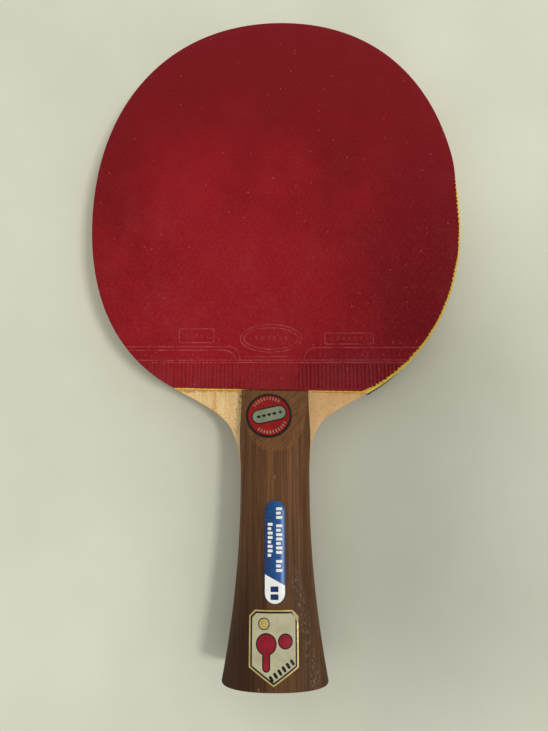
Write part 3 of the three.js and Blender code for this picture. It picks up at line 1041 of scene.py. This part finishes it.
def ply_part(outline, low, high, steps=4):
    """A ply whose edge is sanded round at the neck, between the head and the handle's grip."""
    x, y = outline[:, 0], outline[:, 1]
    beyond_grip = np.abs(x) - handle_half_width(y)
    radius = NECK_SANDING * smoothstep(-1, -9, y) * smoothstep(0, 4, beyond_grip) + 1e-3
    rows = []
    for z in np.linspace(low, high, steps + 1):
        rows.append((rounding(abs(z) - (BLADE_HALF - radius), radius), z))
    return slab(outline, rows)


def add_blade():
    outline = blade_outline()
    core = ply_part(outline, *node_span("core_ply"))
    add_piece("core_ply_wood", core, "core_wood", "core_wood", ["core_ply"])
    for ply, material, slot in (("inner_ply", "inner_veneer", "inner_veneer"),
                                ("outer_ply", "face_veneer", "pale_veneer")):
        part = ply_part(outline, *node_span("front_" + ply))
        add_pair(ply + "_wood", part, material, slot, ply)


def soft_min(first, second, blend=0.07):
    """The lower of two heights, with the ridge where they cross worn round."""
    lowest = np.minimum(first, second)
    return lowest - blend * np.log(np.exp((lowest - first) / blend)
                                   + np.exp((lowest - second) / blend))


def sponge_end_y(x):
    """Where the sponge ends over the handle: its lower edge slopes a little."""
    low, high = RIGHT["corner"], LEFT["corner"]
    return low[1] + (high[1] - low[1]) * (x - low[0]) / (high[0] - low[0]) - SPONGE_BELOW


def scale_ring(y, count=96):
    """Half of the handle's section above the blade, from +X over the crown to -X."""
    inset = float(butt_inset(y) + rounding(y - SCALE_TOP_Y + SCALE_TOP_ROUNDING, SCALE_TOP_ROUNDING))
    rise = float(crown_height(y)) - BLADE_HALF - inset
    width = float(handle_half_width(y)) - inset
    power = 2 / float(section_power(y))
    angle = np.linspace(0, math.pi, count)
    x = width * np.sign(np.cos(angle)) * np.abs(np.cos(angle)) ** power
    reach = sponge_end_y(x) - SCALE_GAP - SCALE_TOP_Y
    place = y + reach * smoothstep(SCALE_TOP_Y - SCALE_TOP_FADE, SCALE_TOP_Y, y)
    z = soft_min(BLADE_HALF + rise * np.abs(np.sin(angle)) ** power, ramp_height(place) - inset)
    z[[0, -1]] = BLADE_HALF
    return np.stack([x, place, z], axis=1)


def scale_part():
    top = SCALE_TOP_Y - SCALE_TOP_ROUNDING * np.sin(np.linspace(math.pi / 2, 0, 5))[::-1]
    return loft([scale_ring(y) for y in [*top, *handle_stations(top[-1])[1:]]])


def add_handle():
    add_pair("scale", scale_part(), "walnut", "walnut", "handle_scale", 50)


# ---- badges

def circle(radius, count=72, middle=(0, 0)):
    return np.array(middle) + radius * directions(np.arange(count) * 2 * math.pi / count)


def bar(length, width, middle=(0, 0), angle=0.0, end_points=8):
    """A bar with round ends, along +X and then turned."""
    turn = np.linspace(-math.pi / 2, math.pi / 2, end_points + 1)
    end = width / 2 * directions(turn) + [(length - width) / 2, 0]
    turned = directions(angle + np.array([0, math.pi / 2]))
    return np.concatenate([end, -end]) @ turned + middle


def block(left, right, low, high, corner=0.25):
    """A box with small round corners, anticlockwise."""
    inner_left, inner_right = left + corner, right - corner
    inner_low, inner_high = low + corner, high - corner
    corners = ((inner_right, inner_low, -90), (inner_right, inner_high, 0),
               (inner_left, inner_high, 90), (inner_left, inner_low, 180))
    return np.concatenate([
        corner * directions(np.radians(start + np.linspace(0, 90, 4))) + [x, y]
        for x, y, start in corners
    ])


def add_print(slot, surface, name, shapes, material, height, thickness=PRINT):
    """One piece of thin printed shapes that lie at a height over a surface."""
    rows = [(0, height), (0, height + thickness * 0.6), (thickness * 0.4, height + thickness)]
    parts = [slab(subdivided(shape, PRINT_STEP), rows, surface, [(PRINT_STEP,)]) for shape in shapes]
    add_piece(name, joined(*parts), material, slot)


def sticker(outline, top):
    """The sheet of a sticker on the handle, from its adhesive to its top."""
    return slab(subdivided(outline, PRINT_STEP), [(0, ADHESIVE), (0, top)], on_handle, [(PRINT_STEP,)])


def tick_places():
    """Middle and angle of each tick, along the two arcs inside the badge's rim."""
    for middle, count in TICK_ARCS:
        for i in range(count):
            angle = math.radians(middle + (i - (count - 1) / 2) * TICK_PITCH)
            yield (TICK_REACH * math.cos(angle), TICK_REACH * math.sin(angle)), angle


def add_round_badge():
    """A black disc with a rim, a red field, a grey bar with dots, and two arcs of ticks."""
    radius, thick = ROUND_BADGE["radius"], ROUND_BADGE["thickness"]
    rim = ADHESIVE + thick
    top = rim - BADGE_SUNK
    rows = [(0, ADHESIVE), (0, ADHESIVE + thick * 0.6), (0.06, ADHESIVE + thick * 0.85),
            (0.18, rim), (0.62, rim), (0.75, top)]
    body = slab(circle(radius), rows, on_ramp)
    add_piece("badge_body", body, "black_ink", "badge_enamel", ["round_badge"])
    layer = partial(add_print, "badge_enamel", on_ramp)
    layer("badge_field", [circle(radius - BADGE_RIM)], "badge_red", top, BADGE_FIELD)
    top += BADGE_FIELD
    middle = BADGE_BAR["middle"]
    outer, inner = (bar(BADGE_BAR["length"] - inset, BADGE_BAR["width"] - inset, middle, BADGE_TILT)
                    for inset in (0, 2 * BADGE_BAR["line"]))
    layer("badge_bar_outline", [outer], "black_ink", top)
    layer("badge_bar", [inner], "badge_grey", top + PRINT)
    along = directions(np.array([BADGE_TILT]))[0]
    dots = [bar(1.4, 0.95, middle + x * along, BADGE_TILT) for x in (-3.9, -1.95, 0, 1.95)]
    dots.append(circle(0.5, 20, middle + 4.2 * along))
    layer("badge_dots", dots, "black_ink", top + 2 * PRINT)
    ticks = [bar(1.25, 0.48, place, angle) for place, angle in tick_places()]
    layer("badge_ticks", ticks, "worn_print", top)


def plate_outline(inset=0.0):
    half = PLATE["half_width"] - inset
    return bar(PLATE["length"] - 2 * inset, 2 * half, (0, PLATE["y"]), math.pi / 2, 24)


def plate_dome(x, y, height):
    """Height 1 is the resin's domed top, and height 0 its flat bottom."""
    along = np.maximum(0, np.abs(y - PLATE["y"]) - (PLATE["length"] / 2 - PLATE["half_width"]))
    share = np.minimum(1, np.hypot(x, along) / PLATE["half_width"])
    low = ADHESIVE + PLATE["foil"] + RESIN_GAP
    top = ADHESIVE + PLATE["foil"] + PLATE["edge"] + PLATE["rise"] * (1 - share**2)
    return on_handle(x, y, low + (top - low) * height)


def below_diagonal(outline, left_y, right_y):
    """The part of an outline below a line that crosses the plate."""
    half = PLATE["half_width"]
    slope = np.array([2 * half, right_y - left_y])
    out = np.array([-slope[1], slope[0]]) / np.linalg.norm(slope)
    return clipped(outline, np.array([-half, left_y]), out)


def plate_bars():
    """Short bars across the plate, in rows with an x, a start, a count and a width."""
    for x, start, count, width in PLATE_BARS:
        for i in range(count):
            high = start - PLATE_BAR_PITCH * i
            right = x + width / 2 - 0.5 * (i % 3 == 1)
            yield block(x - width / 2, right, high - PLATE_BAR_LENGTH, high, 0.2)


def add_name_plate():
    """A blue foil with a white end and rows of plain bars, under a dome of clear resin."""
    top = ADHESIVE + PLATE["foil"]
    foil = sticker(plate_outline(), top)
    add_piece("plate_foil", foil, "blue_foil", "plate_foil", ["name_plate_foil"])
    layer = partial(add_print, "plate_foil", on_handle)
    white = below_diagonal(plate_outline(0.08), -64.2, -67.9)
    layer("plate_white_end", [white], "white_ink", top)
    layer("plate_bars", plate_bars(), "white_ink", top)
    dark = [block(-1.5, 1.2, low, low + 1.8) for low in (-72.4, -69.9)]
    layer("plate_end_bars", dark, "navy_ink", top + PRINT)
    dome = slab(subdivided(plate_outline(), 0.5), [(0, 0.0), (0, 0.6), (0.05, 0.9), (0.16, 1.0)],
                plate_dome, [(0.5,)])
    add_piece("plate_dome", dome, "resin", "clear_resin", ["name_plate_dome"], 60)


def shield_outline(inset=0.0):
    """A shield with its upper corners cut off, anticlockwise from its point."""
    half, middle = SHIELD["half_width"], SHIELD["x"]
    top, side_end = SHIELD["top"], SHIELD["side_end"]
    right = [(half, side_end), (half, top - SHIELD_CHAMFER), (half - SHIELD_CHAMFER, top)]
    left = [(-x, y) for x, y in right[::-1]]
    corners = np.array([(0, SHIELD["point"]), *right, *left]) + [middle, 0]
    return moved_in(corners, inset)


def shield_marks(grow):
    """A plain round paddle with its grip, and a ball beside it, each grown by a margin."""
    return [
        circle(3.1 + grow, 40, (-2.9, -86.2)),
        bar(6.4 + 2 * grow, 1.9 + 2 * grow, (-2.9, -91.2), math.pi / 2),
        circle(2.1 + grow, 32, (3.5, -85.3)),
    ]


def slanting_bars():
    """Six short bars in a row that runs up to the right above the shield's point."""
    slant = math.radians(35)
    for step in range(-3, 3):
        along = 1.7 * (step + 0.5)
        middle = (2.3 + along * math.cos(slant), -94.2 + along * math.sin(slant))
        yield bar(2.1, 0.95, middle, slant + math.pi / 2)


def add_shield():
    """A gold sticker with a black line, a cream field, plain marks and one worn corner."""
    top = ADHESIVE + SHIELD_THICKNESS
    base = sticker(shield_outline(), top)
    add_piece("shield_base", base, "gold_ink", "shield_print", ["shield_badge"])
    layer = partial(add_print, "shield_print", on_handle)
    layer("shield_line", [shield_outline(0.5)], "black_ink", top)
    layer("shield_field", [shield_outline(1.05)], "cream_paper", top + PRINT)
    top += 2 * PRINT
    layer("shield_mark_outline", shield_marks(0.38), "black_ink", top)
    layer("shield_mark", shield_marks(0), "crimson_ink", top + PRINT)
    rim, disc = (circle(radius, 32, (-3.7, -79.9)) for radius in (1.95, 1.65))
    layer("shield_black_marks", [rim, *slanting_bars()], "black_ink", top)
    worn = clipped(shield_outline(), np.array([5.4, -75.6]), np.array([-0.88, -0.48]))
    layer("shield_worn_corner", [worn], "bare_paper", top)
    layer("shield_gold_disc", [disc], "gold_ink", top + PRINT)


# ---- stage

def rectangle(name, half_width, half_length):
    """A flat rectangle around its own origin."""
    mesh = bpy.data.meshes.new(name)
    corners = [(x * half_width, y * half_length, 0) for x, y in ((-1, -1), (1, -1), (1, 1), (-1, 1))]
    mesh.from_pydata(corners, [], [(0, 1, 2, 3)])
    return placed(name, mesh)


def add_floor():
    """A plain pale table under the two places the paddle rests on.

    They are the handle's crown where its ramp starts and the tip of its back rubber.
    """
    rubber_low, rubber_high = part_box("back_topsheet")
    heel_y = ORIGIN[1] + RAMP_END_Y * MM
    heel_z = ORIGIN[2] - NECK_CROWN * MM
    floor = rectangle("floor", FLOOR_HALF, FLOOR_HALF)
    floor.location = (0, heel_y, heel_z)
    floor.rotation_euler = (math.atan2(rubber_low.z - heel_z, rubber_high.y - heel_y), 0, 0)
    look = Look("table top", Roughness=0.5, Specular_IOR_Level=0.25)
    cloud = look.between(look.noise(0.012, 3, 0.6), 0.3, 0.7)
    look.set(Base_Color=look.mix(cloud, (216, 216, 201), (209, 209, 193)))
    floor.data.materials.append(look.material)


def add_key_light():
    light = bpy.data.lights.new("key", "AREA")
    light.energy = KEY_POWER
    light.size = KEY_SIZE
    light.color = KEY_COLOUR
    lamp = placed("key", light)
    lamp.location = KEY_PLACE
    lamp.rotation_euler = (-Vector(KEY_PLACE)).to_track_quat("-Z", "Y").to_euler()


def add_flag():
    """A card held beside the key light, which dims the right side softly."""
    flag = rectangle("flag", *FLAG_HALF)
    flag.location = FLAG_PLACE
    flag.visible_camera = False
    flag.visible_glossy = False
    flag.visible_diffuse = False


def add_world():
    """Soft light from all round, dimmer straight above."""
    world = bpy.data.worlds.new("studio")
    world.use_nodes = True
    sky = Nodes(world.node_tree)
    up = sky.node("SeparateXYZ", {0: sky.node("TexCoord", {}, "Generated")}, "Z")
    dimming = sky.node("MapRange", {"Value": up, **SKY_DIMMING}, interpolation_type="SMOOTHSTEP")
    background = sky.tree.nodes["Background"].inputs
    sky.put(background["Color"], SKY_COLOUR)
    sky.put(background["Strength"], dimming)
    bpy.context.scene.world = world
    bpy.context.scene.view_settings.view_transform = "Standard"


def add_camera():
    camera = placed("camera", bpy.data.cameras.new("camera"))
    camera.data.sensor_width = 36
    camera.data.lens = CAMERA_LENS
    camera.data.clip_start = 0.01
    camera.location = ORIGIN + CAMERA_PLACE * MM
    camera.rotation_euler = np.radians(CAMERA_TURN)
    bpy.context.scene.camera = camera


add_camera()
add_floor()
add_key_light()
add_world()
add_flag()
MATERIALS = make_materials()
add_blade()
add_handle()
add_rubbers()
add_round_badge()
add_name_plate()
add_shield()
